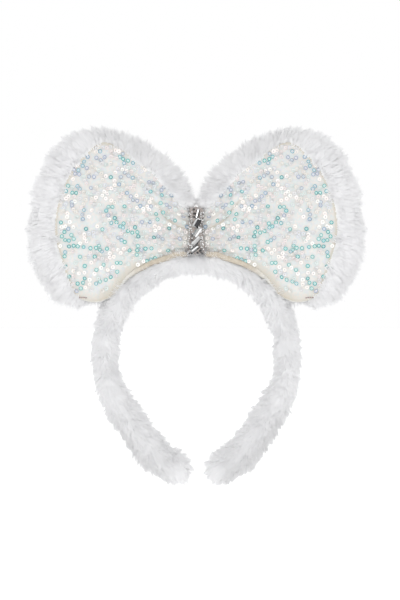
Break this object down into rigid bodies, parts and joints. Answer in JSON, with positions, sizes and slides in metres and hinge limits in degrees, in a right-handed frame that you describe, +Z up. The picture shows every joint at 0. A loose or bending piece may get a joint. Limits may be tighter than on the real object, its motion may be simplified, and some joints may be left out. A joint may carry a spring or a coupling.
{
  "type": "animal ears headband",
  "caption": "Springy plush-covered headband with large bow-shaped sequinned plush ears gathered by a stone-set wrap at the crown; arms spread and ears fold.",
  "frame": {"origin": "the head seat: middle of the band's inner face at the crown", "axes": "+Z up when worn, +X across the head, +Y towards the back of the head; the ears face -Y"},
  "size_m": [0.2392, 0.0342, 0.2528],
  "materials": {
    "plush": "matte long pile",
    "wadding": "matte",
    "spring_strip": "matte",
    "tip_cap": "matte",
    "stiffener": "matte felt",
    "backing": "satin",
    "net": "satin mesh",
    "hem": "satin",
    "sequin": "gloss iridescent",
    "wrap": "satin",
    "pad": "matte felt",
    "thread": "matte",
    "setting": "polished",
    "stone": "polished",
    "bead": "polished"
  },
  "bodies": {
    "crown": {"band_core_crown": "spring_strip", "band_wadding_crown": "wadding", "band_sleeve_crown": "plush", "knot_core": "backing", "knot_wrap": "wrap", "knot_pad": "pad", "knot_stitches": "thread", "baguette_settings": "setting", "baguette_stones": "stone", "wrap_beads": "bead"},
    "left_arm": {"band_core_left": "spring_strip", "band_wadding_left": "wadding", "band_sleeve_left": "plush", "tip_cap_left": "tip_cap"},
    "left_ear": {"ear_plush_back_left": "plush", "ear_plush_rim_left": "plush", "ear_wadding_front_left": "wadding", "ear_wadding_back_left": "wadding", "ear_stiffener_left": "stiffener", "window_backing_left": "backing", "sequin_net_left": "net", "hem_binding_left": "hem", "sequins_left": "sequin"},
    "right_arm": {"band_core_right": "spring_strip", "band_wadding_right": "wadding", "band_sleeve_right": "plush", "tip_cap_right": "tip_cap"},
    "right_ear": {"ear_plush_back_right": "plush", "ear_plush_rim_right": "plush", "ear_wadding_front_right": "wadding", "ear_wadding_back_right": "wadding", "ear_stiffener_right": "stiffener", "window_backing_right": "backing", "sequin_net_right": "net", "hem_binding_right": "hem", "sequins_right": "sequin"}
  },
  "joints": [
    {"name": "left_arm_spread", "type": "hinge", "parent": "crown", "child": "left_arm", "pos_m": [-0.06677, 0, -0.02226], "axis": [0, 1, 0], "range_deg": [0, 24], "stiffness_Nm_per_rad": 0.5, "springref_deg": -6.88},
    {"name": "right_arm_spread", "type": "hinge", "parent": "crown", "child": "right_arm", "pos_m": [0.06677, 0, -0.02226], "axis": [0, -1, 0], "range_deg": [0, 24], "stiffness_Nm_per_rad": 0.5, "springref_deg": -6.88},
    {"name": "left_ear_fold", "type": "hinge", "parent": "crown", "child": "left_ear", "pos_m": [-0.008, -0.008, 0.0295], "axis": [0, 0, 1], "range_deg": [-3, 20], "stiffness_Nm_per_rad": 0.05},
    {"name": "right_ear_fold", "type": "hinge", "parent": "crown", "child": "right_ear", "pos_m": [0.008, -0.008, 0.0295], "axis": [0, 0, -1], "range_deg": [-3, 20], "stiffness_Nm_per_rad": 0.05}
  ]
}
